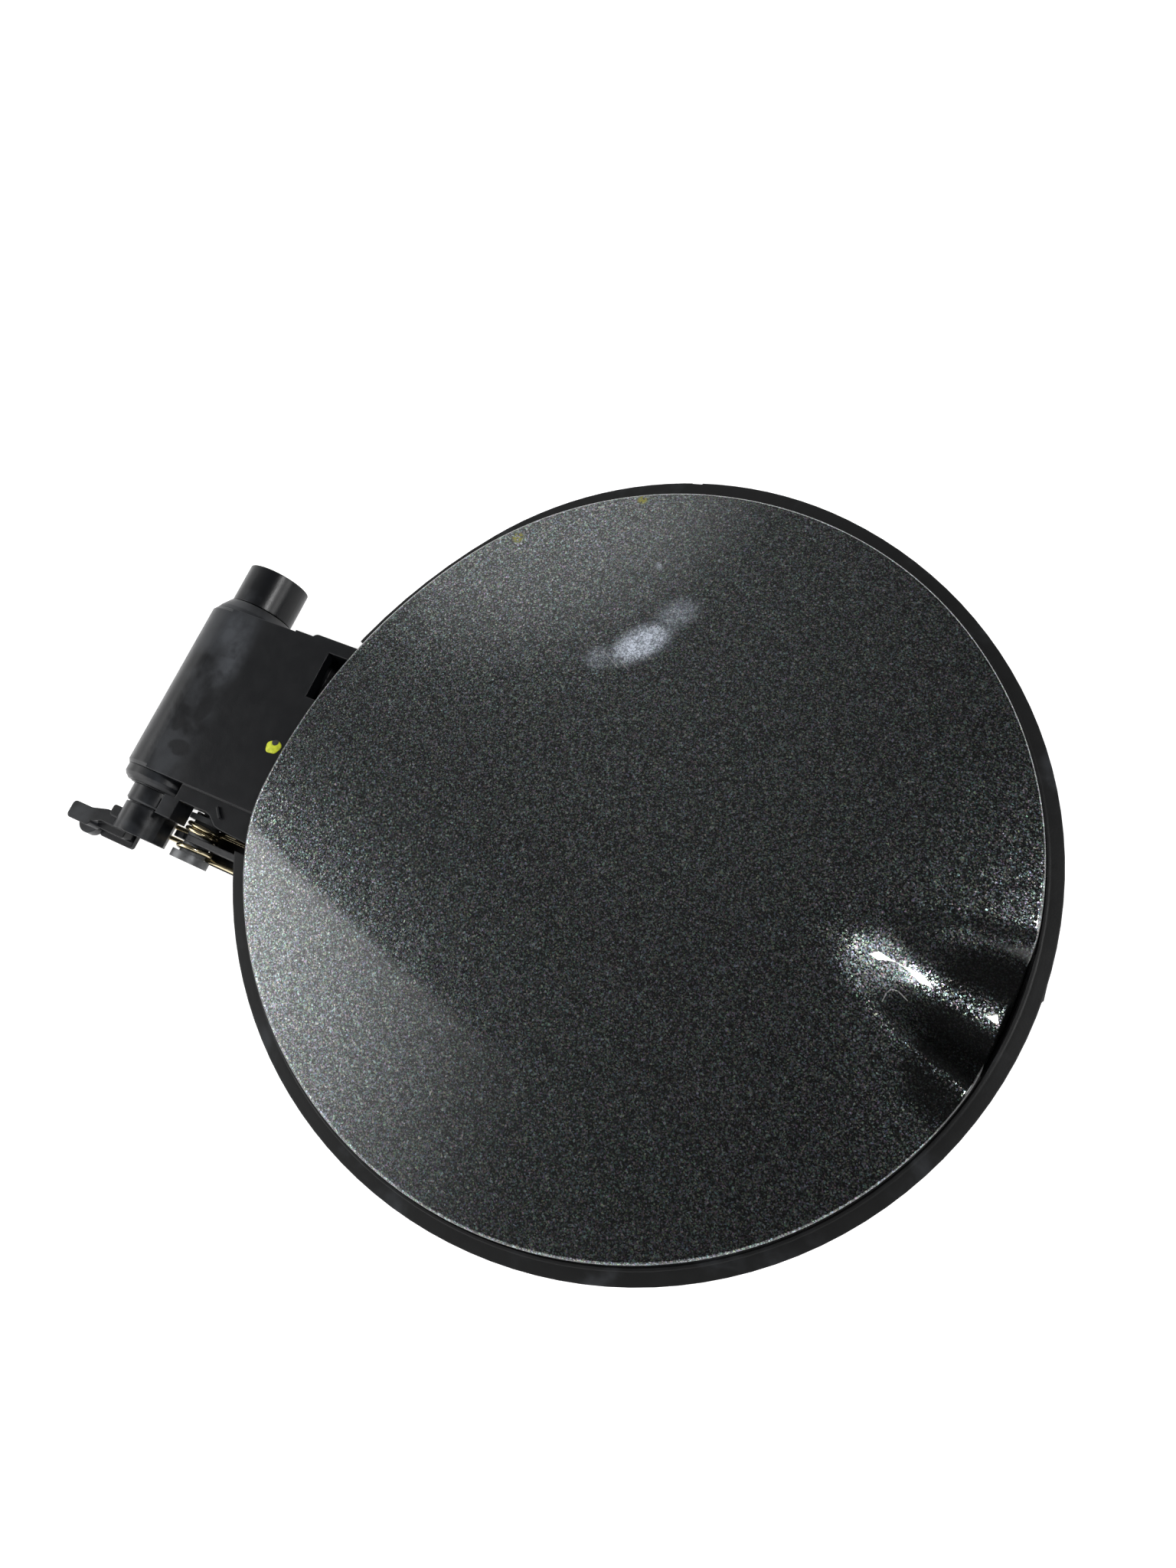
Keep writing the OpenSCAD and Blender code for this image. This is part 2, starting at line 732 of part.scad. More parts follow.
// Round wire along a path of points; each section stands square to the path there
module wire(path, r, sides = 12) {
    n = len(path);
    function heading(i) = unit2(path[min(i + 1, n - 1)] - path[max(i - 1, 0)]);
    function across(t) = unit2(cross(t, [0.05, 0.1, 1]));
    points = [for (i = [0:n - 1])
        let (t = heading(i), u = across(t), w = cross(t, u))
        for (k = [0:sides - 1])
            path[i] + r * (cos(k * 360 / sides) * u + sin(k * 360 / sides) * w)];
    sides_faces = [for (i = [0:n - 2], k = [0:sides - 1])
        let (k2 = (k + 1) % sides)
        [i * sides + k, i * sides + k2, (i + 1) * sides + k2, (i + 1) * sides + k]];
    ends = [[for (k = [sides - 1:-1:0]) k], [for (k = [0:sides - 1]) (n - 1) * sides + k]];
    polyhedron(points = points, faces = concat([for (f = sides_faces) reversed(f)], [for (f = ends) reversed(f)]));
}

// Double torsion spring: its bridge bears on the hub's flats from below, its long legs
// run out under the lid to the comb
module detent_spring() {
    color([0.78, 0.66, 0.36]) wire(wire_path(), wire_r);
}

module latch_catch() {
    tongue_t = 2.4;
    leg = [catch_x + 2, 6];
    foot_z = -barrel_r + foot_r;
    slot_w = 10;
    color([0.06, 0.065, 0.07])
        at_lid()
            difference() {
                union() {
                    // base screwed to the panel's two bosses
                    slab(catch_low, catch_top - 0.02)
                        translate([catch_x, 0])
                            polygon([[-8, -30], [-8, 30], [4, 30], [7, 20], [7, -20], [4, -30]]);
                    // tongue that shows outside the flange
                    slab(catch_low - tongue_t + 0.2, catch_low + 0.2)
                        translate([catch_x + 2, 0])
                            polygon([[0, 1.4], [16, 1.4], [15.5, 6.5], [14.4, 11.6], [0, 11.6]]);
                    // leg and rounded foot
                    translate([leg[0], -catch_w / 2, foot_z]) cube([leg[1], catch_w, catch_low - foot_z + 0.1]);
                    translate([leg[0] + leg[1] / 2, 0, foot_z])
                        rotate([-90, 0, 0]) translate([0, 0, -catch_w / 2]) cylinder(r = foot_r, h = catch_w);
                    // two gussets behind the leg
                    for (y = [-catch_w / 2, catch_w / 2 - 2])
                        translate([0, y + 2, 0])
                            rotate([90, 0, 0])
                                linear_extrude(height = 2)
                                    polygon([[leg[0] + 0.1, foot_z + 2], [leg[0] + 0.1, catch_low + 0.1],
                                        [leg[0] - 8, catch_low + 0.1]]);
                }
                // slot for the latch bolt
                translate([leg[0] - 12, -slot_w / 2, foot_z + 1.5]) cube([24, slot_w, 8]);
                for (s = [-1, 1])
                    translate([catch_x, s * catch_y, 0]) cylinder(r = screw_r + 0.2, h = 20);
                // room for the panel's dish under the recess
                recess_solid(skin_t + dish_t + 2 * body_gap);
            }
}

module bump_stops() {
    stop_h = 6;
    color([0.03, 0.03, 0.03])
        at_lid()
            for (a = stop_angles)
                rotate(a)
                    translate([stop_dist, 0, 0]) {
                        translate([0, 0, flange_low - stop_h]) cylinder(r1 = 3.6, r2 = 5, h = stop_h - 0.02);
                        translate([0, 0, flange_low - 0.1]) cylinder(r = 2, h = flange_t + 0.5);
                    }
}

outer_skin();
skin_clips();
bond_pads();
inner_panel();
panel_inserts();
hinge_arm();
arm_screws();
upper_bush();
lower_bush();
spring_post();
coil_sleeves();
post_clip();
detent_spring();
latch_catch();
catch_screws();
bump_stops();
crank_shaft();
shaft_cap();
shaft_clip();
thrust_washer();
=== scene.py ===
"""Looks of a round car fuel door: flaked paint, moulded black plastics, plated spring and marks of use."""

import math

import bmesh
import bpy
from bpy.props import FloatProperty, FloatVectorProperty, IntProperty, PointerProperty
from mathutils import Matrix, Vector


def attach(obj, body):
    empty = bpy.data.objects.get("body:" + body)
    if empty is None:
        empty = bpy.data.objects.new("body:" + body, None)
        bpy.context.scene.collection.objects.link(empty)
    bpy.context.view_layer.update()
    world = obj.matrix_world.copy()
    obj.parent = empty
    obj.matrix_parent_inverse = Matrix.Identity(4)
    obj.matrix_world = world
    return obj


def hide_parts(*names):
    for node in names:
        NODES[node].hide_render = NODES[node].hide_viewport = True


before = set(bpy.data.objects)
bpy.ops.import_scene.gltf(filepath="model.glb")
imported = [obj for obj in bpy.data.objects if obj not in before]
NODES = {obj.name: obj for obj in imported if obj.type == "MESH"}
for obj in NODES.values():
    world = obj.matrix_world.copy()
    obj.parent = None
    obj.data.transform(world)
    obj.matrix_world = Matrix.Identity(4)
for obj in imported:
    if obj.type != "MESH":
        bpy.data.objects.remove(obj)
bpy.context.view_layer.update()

bl_info = {
    "name": "Round Fuel Door",
    "version": (1, 0, 0),
    "blender": (4, 5, 0),
    "location": "View3D > Sidebar > Fuel Door",
    "description": "Gives the fuel door its painted lid, plastics, spring wire and marks of use",
    "category": "Object",
}

MM = 0.001


# Settings that a user would change

def length(name, description, default):
    """A length in metres with its name and description."""
    return FloatProperty(name=name, description=description, default=default, unit="LENGTH", precision=5)


def angle(name, description, degrees):
    """An angle, given here in degrees."""
    return FloatProperty(name=name, description=description, default=math.radians(degrees), subtype="ANGLE")


def amount(name, description, default, top):
    """A plain factor from 0 to top."""
    return FloatProperty(name=name, description=description, default=default, min=0.0, max=top)


def colour(name, description, default):
    """A linear colour."""
    return FloatVectorProperty(name=name, description=description, default=default, subtype="COLOR",
                               min=0.0, max=1.0)


class LidSettings(bpy.types.PropertyGroup):
    """Shape and paint of the lid's skin."""
    centre: FloatVectorProperty(name="Centre", description="Lid's centre from the hinge axis",
                                default=(0.1165, 0.0044, 0.0), subtype="TRANSLATION", unit="LENGTH")
    radius: length("Radius", "Radius of the lid's main round edge", 0.085)
    flat_radius: length("Flat radius", "Radius of the flatter arc on the hinge side", 0.124)
    edge_height: length("Edge height", "Height of the lid's edge above the hinge axis", 0.015)
    crown: length("Crown", "Rise of the lid's middle above its edge", 0.005)
    thickness: length("Thickness", "Thickness of the painted skin", 0.001)
    hem: length("Hem", "Depth of the turned-down edge", 0.0026)
    edge_round: length("Edge rounding", "Radius that the skin's edge turns down with", 0.001)
    recess_angle: angle("Recess direction", "Direction of the finger recess from the centre", -3.5)
    recess_start: length("Recess start", "Distance from the centre to where the recess starts", 0.051)
    recess_depth: length("Recess depth", "Depth of the recess at the lid's edge", 0.0062)
    recess_small: length("Recess small radius", "Radius of the recess cone where it starts", 0.0125)
    recess_half: angle("Recess half angle", "Half angle of the recess cone", 18.0)
    recess_blend: length("Recess blend", "How softly the recess passes into the crown", 0.0040)
    recess_hollow: length("Recess hollow", "How far the recess sags below a straight cone", 0.00095)
    paint: colour("Paint", "Colour of the paint under the flakes", (0.012, 0.0125, 0.013))
    flake: colour("Flakes", "Mean colour of the metallic flakes", (0.112, 0.125, 0.126))
    flake_size: length("Flake size", "Size of one visible flake", 0.00026)
    sparkle: amount("Sparkle", "How far single flakes stand out", 1.0, 2.0)
    lean: amount("Lean", "How far single flakes lean", 0.11, 2.0)


class PlasticSettings(bpy.types.PropertyGroup):
    """Colours and wear of the moulded black pieces."""
    hinge: colour("Hinge plastic", "Colour of the arm, barrel, shaft and cap", (0.0045, 0.005, 0.0062))
    panel: colour("Panel plastic", "Colour of the panel and its flange", (0.005, 0.0052, 0.0055))
    # The dust colour is also used for the painted sheen on the barrel.
    dust: colour("Dust", "Colour of the dull dust on the barrel", (0.058, 0.064, 0.074))
    edge_round: length("Edge rounding", "Radius that moulded edges look rounded with", 0.00035)


class SpringSettings(bpy.types.PropertyGroup):
    """The double torsion spring and its post."""
    wire: length("Wire radius", "Radius of the spring wire", 0.0006)
    coil: length("Coil radius", "Radius of the coils to the wire's centre", 0.00395)
    plating: colour("Plating", "Colour of the yellow plating", (0.74, 0.64, 0.42))
    ring: IntProperty(name="Wire sides", description="Sides of the wire's section", default=16, min=6,
                      max=48)


class StageSettings(bpy.types.PropertyGroup):
    """Camera, floor and studio light."""
    lens: FloatProperty(name="Lens", description="Lens in millimetres on a sensor 36 mm high", default=26.0,
                        min=5.0)
    floor_height: length("Floor height", "Height of the floor in the hinge's frame", -0.011)
    recess_lamp: amount("Recess lamp", "Power in watts of the small lamp on the recess", 5.5, 50.0)
    overhead: amount("Overhead", "Radiance of the dim studio overhead", 0.15, 5.0)
    glow: amount("Glow", "Radiance of the glow behind the hinge", 0.88, 5.0)
    window: amount("Window", "Radiance of the window along the hinge side", 2.9, 20.0)
    band: amount("Band", "Radiance of the low light in front, which shows in the recess", 1.2, 5.0)
    horizon: amount("Horizon", "Radiance of the pale walls", 0.9, 5.0)
    side: amount("Side light", "Radiance of the low light on the right", 5.0, 20.0)


# Shader nodes

class Graph:
    """Places shader nodes in one tree and joins them."""

    def __init__(self, tree):
        self.tree = tree

    def add(self, kind, _sockets=None, **settings):
        """A node with its settings, and values or links for the sockets named in _sockets."""
        node = self.tree.nodes.new(kind)
        for key, value in settings.items():
            setattr(node, key, value)
        for key, value in (_sockets or {}).items():
            self.put(node.inputs[key], value)
        return node

    def put(self, socket, value):
        """Links a socket, or sets the plain value."""
        if isinstance(value, bpy.types.NodeSocket):
            self.tree.links.new(value, socket)
        else:
            socket.default_value = value

    def math(self, operation, a, b=0.0):
        """The result of one math node."""
        return self.add("ShaderNodeMath", {0: a, 1: b}, operation=operation).outputs[0]

    def vector(self, operation, a, b=(0.0, 0.0, 0.0)):
        """The result of one vector math node."""
        node = self.add("ShaderNodeVectorMath", {0: a, 1: b}, operation=operation)
        name = "Value" if operation in ("LENGTH", "DISTANCE", "DOT_PRODUCT") else "Vector"
        return node.outputs[name]

    def scale(self, a, factor):
        """A vector times a number."""
        node = self.add("ShaderNodeVectorMath", {"Vector": a, "Scale": factor}, operation="SCALE")
        return node.outputs[0]

    def mix(self, factor, a, b):
        """Colour a where the factor is 0, b where it is 1."""
        node = self.add("ShaderNodeMix", {0: factor, 6: a, 7: b}, data_type="RGBA")
        return node.outputs[2]

    def ramp(self, value, low, high, out_low=0.0, out_high=1.0):
        """Value from low to high, smoothly turned into out_low to out_high."""
        node = self.add("ShaderNodeMapRange", {0: value, 1: low, 2: high, 3: out_low, 4: out_high},
                        interpolation_type="SMOOTHSTEP", clamp=True)
        return node.outputs[0]

    def noise(self, vector, scale, detail=2.0, roughness=0.5, distortion=0.0):
        """A noise texture's value, at scale waves per metre."""
        node = self.add("ShaderNodeTexNoise", {"Vector": vector, "Scale": scale, "Detail": detail,
                                               "Roughness": roughness, "Distortion": distortion})
        return node.outputs[0]

    def place(self):
        """Where the point is on the object, in metres."""
        return self.add("ShaderNodeTexCoord").outputs["Object"]

    def group(self, tree, sockets):
        """A node group with its input values."""
        node = self.tree.nodes.new("ShaderNodeGroup")
        node.node_tree = tree
        for key, value in sockets.items():
            self.put(node.inputs[key], value)
        return node


def new_group(name, inputs, outputs):
    """An empty shader node group: its tree, its Graph, its input sockets and its output node."""
    tree = bpy.data.node_groups.new(name, "ShaderNodeTree")
    for title, kind, default in inputs:
        socket = tree.interface.new_socket(title, in_out="INPUT", socket_type=kind)
        if default is not None:
            socket.default_value = default
    for title, kind in outputs:
        tree.interface.new_socket(title, in_out="OUTPUT", socket_type=kind)
    graph = Graph(tree)
    return tree, graph, graph.add("NodeGroupInput").outputs, graph.add("NodeGroupOutput")


FLOAT, VECTOR, COLOUR = "NodeSocketFloat", "NodeSocketVector", "NodeSocketColor"


def rubs_group():
    """Soft patches where dust lies or a surface is rubbed, and a finer mottle."""
    tree, g, given, out = new_group(
        "Rubs", [("Place", VECTOR, None), ("Patch", FLOAT, 60.0), ("Cover", FLOAT, 0.5)],
        [("Mask", FLOAT), ("Fine", FLOAT)])
    broad = g.noise(given["Place"], given["Patch"], 3.0, 0.55, 0.6)
    fine = g.noise(given["Place"], 320.0, 3.0, 0.55)
    low = g.math("SUBTRACT", 0.75, g.math("MULTIPLY", given["Cover"], 0.4))
    patches = g.ramp(g.math("ADD", broad, g.math("MULTIPLY", fine, 0.22)), low, g.math("ADD", low, 0.3))
    g.put(out.inputs["Mask"], patches)
    g.put(out.inputs["Fine"], fine)
    return tree


def grain_group():
    """Height of the fine grain of a moulded or plated surface."""
    tree, g, given, out = new_group(
        "Fine grain", [("Place", VECTOR, None), ("Size", FLOAT, 2500.0)], [("Height", FLOAT)])
    fine = g.noise(given["Place"], given["Size"], 2.0, 0.6)
    wide = g.noise(given["Place"], 220.0, 2.0, 0.5)
    g.put(out.inputs["Height"], g.math("ADD", g.math("MULTIPLY", fine, 0.4), wide))
    return tree


def flake_group():
    """One layer of flakes: how bright each one is, its tint, and how far it leans."""
    tree, g, given, out = new_group(
        "Flakes", [("Place", VECTOR, None), ("Cells", FLOAT, 2800.0), ("Lean", FLOAT, 0.2)],
        [("Bright", FLOAT), ("Tint", COLOUR), ("Leaning", VECTOR)])
    cell = g.add("ShaderNodeTexVoronoi", {"Vector": given["Place"], "Scale": given["Cells"]},
                 feature="F1")
    parts = g.add("ShaderNodeSeparateColor", {0: cell.outputs["Color"]})
    g.put(out.inputs["Bright"], g.math("MULTIPLY", g.math("POWER", parts.outputs[0], 2.5), 3.0))
    tint = g.add("ShaderNodeTexWhiteNoise", {"Vector": cell.outputs["Position"]}, noise_dimensions="3D")
    g.put(out.inputs["Tint"], tint.outputs["Color"])
    lean = g.vector("SUBTRACT", cell.outputs["Color"], (0.5, 0.5, 0.5))
    g.put(out.inputs["Leaning"], g.scale(lean, given["Lean"]))
    return tree


def spot_group():
    """1 inside a round spot, 0 outside, over a soft edge."""
    tree, g, given, out = new_group(
        "Round spot", [("Place", VECTOR, None), ("Centre", VECTOR, None), ("Radius", FLOAT, 0.001),
                       ("Soft", FLOAT, 0.0005)], [("Mask", FLOAT)])
    reach = g.vector("DISTANCE", given["Place"], given["Centre"])
    low = g.math("SUBTRACT", given["Radius"], given["Soft"])
    high = g.math("ADD", given["Radius"], given["Soft"])
    g.put(out.inputs["Mask"], g.ramp(reach, low, high, 1.0, 0.0))
    return tree


def smear_group():
    """1 inside a soft oval smear that is drawn one way across the object, 0 outside."""
    tree, g, given, out = new_group(
        "Soft smear", [("Place", VECTOR, None), ("Centre", VECTOR, None), ("Drawn", VECTOR, None),
                       ("Length", FLOAT, 0.005), ("Width", FLOAT, 0.003)], [("Mask", FLOAT)])
    off = g.vector("SUBTRACT", given["Place"], given["Centre"])
    sideways = g.vector("CROSS_PRODUCT", (0.0, 0.0, 1.0), given["Drawn"])
    along = g.math("DIVIDE", g.vector("DOT_PRODUCT", off, given["Drawn"]), given["Length"])
    across = g.math("DIVIDE", g.vector("DOT_PRODUCT", off, sideways), given["Width"])
    squares = g.math("ADD", g.math("MULTIPLY", along, along), g.math("MULTIPLY", across, across))
    reach = g.math("SQRT", squares)
    g.put(out.inputs["Mask"], g.ramp(reach, 0.25, 1.2, 1.0, 0.0))
    return tree


GROUPS = {}


def group_tree(name):
    """The node group of that name, made once."""
    makers = {"rubs": rubs_group, "grain": grain_group, "flakes": flake_group, "spot": spot_group,
              "smear": smear_group}
    if name not in GROUPS:
        GROUPS[name] = makers[name]()
    return GROUPS[name]


def new_material(name):
    """A material with a plain Principled shader: the material, its Graph and the shader."""
    material = bpy.data.materials.new(name)
    material.use_nodes = True
    tree = material.node_tree
    shader = tree.nodes.get("Principled BSDF")
    return material, Graph(tree), shader


def spot(g, place, centre, radius, soft):
    """The mask of a round spot about centre, whose edge is soft metres wide each way."""
    sockets = {"Place": place, "Centre": centre, "Radius": radius, "Soft": soft}
    return g.group(group_tree("spot"), sockets).outputs["Mask"]


def smear(g, place, centre, size, drawn):
    """The mask of a soft smear about centre, with its length and width, drawn one way."""
    sockets = {"Place": place, "Centre": centre, "Drawn": drawn, "Length": size[0], "Width": size[1]}
    return g.group(group_tree("smear"), sockets).outputs["Mask"]


def largest(g, masks):
    """The largest of several masks."""
    found = masks[0]
    for mask in masks[1:]:
        found = g.math("MAXIMUM", found, mask)
    return found


def stroke(g, place, start, end, width):
    """A fine straight scratch between two points, seen from above."""
    ahead = Vector((*(end - start), 0.0))
    half, ahead = ahead.length / 2, ahead.normalized()
    off = g.vector("SUBTRACT", place, Vector((*((start + end) / 2), 0.0)))
    along = g.math("ABSOLUTE", g.vector("DOT_PRODUCT", off, ahead))
    across = g.math("ABSOLUTE", g.vector("DOT_PRODUCT", off, (-ahead.y, ahead.x, 0.0)))
    return g.math("MULTIPLY", g.ramp(across, width * 0.5, width, 1.0, 0.0),
                  g.ramp(along, half - width, half + width, 1.0, 0.0))


# Where the recess begins; the paint is rougher there only to widen the highlight to the photograph's
RECESS_START = Vector((0.1748, -0.0012, 0.0160))
# Centre, radius and softness of two spots where the flakes are darkened, for the photograph's
# tone from the camera: a correction of the render, and not a mark that the lid has
# These spots are painted shade: darker flakes down the recess.
RECESS_PAINTED_SHADE = ((Vector((0.199, -0.002, 0.012)), 0.015, 0.006),
               (Vector((0.195, -0.016, 0.015)), 0.010, 0.004))

# Where the photograph shows marks, as points on the object, and which way they are drawn
SMEAR_DRAWN, BARREL_DRAWN = (0.62, 0.78, 0.0), (0.0, 1.0, 0.0)
SMEARS = [(Vector((0.1040, 0.0449, 0.0188)), (0.0086, 0.0046), 1.0),
          (Vector((0.1086, 0.0540, 0.0182)), (0.0062, 0.0042), 0.42),
          (Vector((0.0966, 0.0386, 0.0188)), (0.0040, 0.0036), 0.4),
          (Vector((0.0995, 0.0644, 0.0173)), (0.0009, 0.0014), 0.5)]
CHIPS = [(Vector((0.0883, 0.0800, 0.0154)), 0.0011), (Vector((0.0640, 0.0614, 0.0158)), 0.0013)]
SCRATCH_WIDTH = 0.16 * MM
HOOK = [(178.2, -8.2), (178.4, -6.1), (179.0, -5.0), (180.3, -4.8), (182.6, -5.8)]
STROKES = [((184.9, -23.3), (187.7, -25.9), 0.25), ((96.8, 40.3), (101.8, 37.5), 0.5),
           ((101.8, 39.2), (104.2, 37.7), 0.45)] + [(a, b, 0.6) for a, b in zip(HOOK, HOOK[1:])]
# The first list is partly dust and partly painted sheen on the barrel, where a light's gloss falls; the
# second is rubbed spots.
BARREL_DUST_AND_SHEEN = [(Vector((6.6, 10.5, 8.6)), (11.0, 4.2)), (Vector((2.5, 17.0, 10.6)), (6.0, 3.0))]
BARREL_RUBS = [(Vector((6.6, -3.9, 8.8)), (4.5, 2.4)), (Vector((6.0, -14.9, 9.2)), (2.4, 4.0)),
               (Vector((2.0, -9.0, 10.8)), (3.0, 2.0))]


def flake_layers(g, place, lid):
    """Two layers of flakes: their colour over the paint, with painted shade down the recess, how they lean,
    and the fine ones' brightness.
    """
    cells = 1.0 / lid.flake_size
    fine = g.group(group_tree("flakes"), {"Place": place, "Cells": cells, "Lean": lid.lean})
    coarse = g.group(group_tree("flakes"), {"Place": place, "Cells": cells * 0.7, "Lean": lid.lean})
    bright = g.math("ADD", g.math("MULTIPLY", fine.outputs["Bright"], lid.sparkle),
                    g.math("MULTIPLY", g.ramp(coarse.outputs["Bright"], 2.7, 2.85), 2.6 * lid.sparkle))
    bright = g.math("ADD", bright, 1.06 - 0.95 * lid.sparkle)
    # Painted shade: the flakes are darkened down the recess, to 0.12 of their brightness at the spots'
    # middles.
    painted_recess_shade = largest(g, [spot(g, place, *dark) for dark in RECESS_PAINTED_SHADE])
    bright = g.math("MULTIPLY", bright, g.ramp(painted_recess_shade, 0.0, 1.0, 1.0, 0.12))
    tint = g.mix(0.5, (1.3, 1.3, 1.3, 1.0), fine.outputs["Tint"])
    flakes = g.vector("MULTIPLY", g.scale(tint, bright), tuple(lid.flake))
    leaning = g.vector("ADD", fine.outputs["Leaning"], g.scale(coarse.outputs["Leaning"], 0.5))
    return g.mix(0.05, flakes, (*lid.paint, 1.0)), leaning, fine.outputs["Bright"]


def paint_marks(g, place, flake_bright):
    """The masks of the rub, the chips and the scratches."""
    smears = [g.math("MULTIPLY", smear(g, place, c, size, SMEAR_DRAWN), strength)
              for c, size, strength in SMEARS]
    wisps = g.noise(place, 700.0, 3.0, 0.6, 0.4)
    smudge = g.math("MULTIPLY", largest(g, smears), g.ramp(wisps, 0.3, 0.6, 0.55, 1.0))
    smudge = g.math("MULTIPLY", smudge, g.ramp(flake_bright, 0.0, 1.5, 0.6, 1.1))
    chips = largest(g, [spot(g, place, c, r, 0.0005) for c, r in CHIPS])
    chips = g.math("MULTIPLY", chips, g.ramp(g.noise(place, 1500.0, 2.0), 0.42, 0.5))
    scratches = [g.math("MULTIPLY", strength,
                        stroke(g, place, Vector(a) * MM, Vector(b) * MM, SCRATCH_WIDTH))
                 for a, b, strength in STROKES]
    return smudge, chips, largest(g, scratches)


def paint_material():
    """Dark flaked paint under clear coat, with a rub, two chips, a few fine scratches and painted shade
    down the recess.
    """
    lid = bpy.context.scene.fuel_door_lid
    material, g, shader = new_material("lid_paint")
    place = g.place()
    base, leaning, flake_bright = flake_layers(g, place, lid)
    smudge, chips, scratches = paint_marks(g, place, flake_bright)
    for mask, mark in ((smudge, (0.52, 0.57, 0.66, 1.0)), (chips, (0.20, 0.19, 0.03, 1.0)),
                       (scratches, (0.30, 0.30, 0.30, 1.0))):
        base = g.mix(mask, base, mark)
    g.put(shader.inputs["Base Color"], base)
    marked = largest(g, [chips, scratches, smudge])
    g.put(shader.inputs["Metallic"], g.ramp(marked, 0.0, 1.0, 0.97, 0.1))
    drawn = spot(g, place, RECESS_START, 0.006, 0.004)
    rough = g.math("MAXIMUM", marked, g.math("MULTIPLY", drawn, 0.65))
    g.put(shader.inputs["Roughness"], g.ramp(rough, 0.0, 1.0, 0.19, 0.55))
    normal = g.add("ShaderNodeNewGeometry").outputs["Normal"]
    g.put(shader.inputs["Normal"], g.vector("NORMALIZE", g.vector("ADD", normal, leaning)))
    shader.inputs["Coat Roughness"].default_value = 0.035
    shader.inputs["Coat IOR"].default_value = 1.5
    g.put(shader.inputs["Coat Weight"], g.ramp(largest(g, [chips, scratches]), 0.0, 1.0, 1.0, 0.2))
    return material


def plastic_material(name, base, dust, cover, roughness, round_edges, barrel=False):
    """Moulded black plastic with fine grain, dust and rounded-looking edges; on the barrel also painted
    sheen.
    """
    material, g, shader = new_material(name)
    place = g.place()
    rubs = g.group(group_tree("rubs"), {"Place": place, "Patch": 70.0, "Cover": cover})
    mask = g.math("MULTIPLY", rubs.outputs["Mask"], 0.4)
    if barrel:
        # The dust fades out from X 6 to 12 mm, so the barrel's side towards the plate and the plate itself
        # stay darker.
        across = g.add("ShaderNodeSeparateXYZ", {0: place}).outputs["X"]
        mask = g.math("MULTIPLY", mask, g.ramp(across, 6 * MM, 12 * MM, 0.8, 0.0))
        dusty_and_sheen, rubbed = (largest(g, [smear(g, place, c * MM, [n * MM for n in size], BARREL_DRAWN)
                                     for c, size in marks]) for marks in (BARREL_DUST_AND_SHEEN, BARREL_RUBS))
        ragged = g.ramp(rubs.outputs["Fine"], 0.35, 0.6, 0.5, 1.0)
        # Painted sheen: these patches lighten the barrel with the dust colour, partly as dust and partly as
        # a light's gloss.
        mask = g.math("ADD", mask, g.math("MULTIPLY", g.math("MULTIPLY", dusty_and_sheen, ragged), 0.35))
        mask = g.math("MULTIPLY", mask, g.ramp(g.math("MULTIPLY", rubbed, ragged), 0.1, 0.5, 1.0, 0.1))
    g.put(shader.inputs["Base Color"], g.mix(mask, (*base, 1.0), (*dust, 1.0)))
    shader.inputs["Specular IOR Level"].default_value = 0.3
    g.put(shader.inputs["Roughness"],
          g.math("ADD", g.ramp(rubs.outputs["Fine"], 0.3, 0.7, roughness - 0.02, roughness + 0.03),
                 g.math("MULTIPLY", mask, 0.25)))
    height = g.group(group_tree("grain"), {"Place": place, "Size": 2600.0}).outputs["Height"]
    bevel = g.add("ShaderNodeBevel", {"Radius": round_edges}, samples=6)
    bump = g.add("ShaderNodeBump", {"Strength": 0.2, "Distance": 0.0002, "Height": height,
                                    "Normal": bevel.outputs[0]})
    g.put(shader.inputs["Normal"], bump.outputs[0])
    return material


def metal_material(name, base, roughness, worn=0.3):
    """Plated or plain metal with fine mottling."""
    material, g, shader = new_material(name)
    place = g.place()
    rubs = g.group(group_tree("rubs"), {"Place": place, "Patch": 180.0, "Cover": worn})
    dark = tuple(c * 0.55 for c in base)
    g.put(shader.inputs["Base Color"], g.mix(rubs.outputs["Mask"], (*base, 1.0), (*dark, 1.0)))
    g.put(shader.inputs["Roughness"], g.ramp(rubs.outputs["Fine"], 0.3, 0.7, roughness, roughness + 0.15))
    shader.inputs["Metallic"].default_value = 1.0
    height = g.group(group_tree("grain"), {"Place": place, "Size": 5000.0}).outputs["Height"]
    g.put(shader.inputs["Normal"], g.add("ShaderNodeBump", {"Strength": 0.15, "Distance": 0.0001,
                                                            "Height": height}).outputs[0])
    return material


def dull_material(name, base, roughness):
    """Foam, rubber or paint without gloss."""
    material, g, shader = new_material(name)
    place = g.place()
    mottle = g.noise(place, 900.0, 3.0, 0.6)
    light = tuple(min(1.0, c * 1.25) for c in base)
    g.put(shader.inputs["Base Color"], g.mix(g.ramp(mottle, 0.35, 0.65), (*base, 1.0), (*light, 1.0)))
    g.put(shader.inputs["Roughness"], g.ramp(mottle, 0.3, 0.7, roughness - 0.05, roughness + 0.05))
    height = g.group(group_tree("grain"), {"Place": place, "Size": 3000.0}).outputs["Height"]
    g.put(shader.inputs["Normal"], g.add("ShaderNodeBump", {"Strength": 0.3, "Distance": 0.0002,
                                                            "Height": height}).outputs[0])
    return material


def wear(obj, material):
    """Gives an object one material on every face."""
    mesh = obj.data
    if not mesh.materials:
        mesh.materials.append(material)
    for place in obj.material_slots:
        place.link = "OBJECT"
        place.material = material


def finished_mesh(name, bm):
    """The mesh of bm, with every face turned outwards."""
    bmesh.ops.recalc_face_normals(bm, faces=bm.faces)
    mesh = bpy.data.meshes.new(name)
    bm.to_mesh(mesh)
    bm.free()
    return mesh


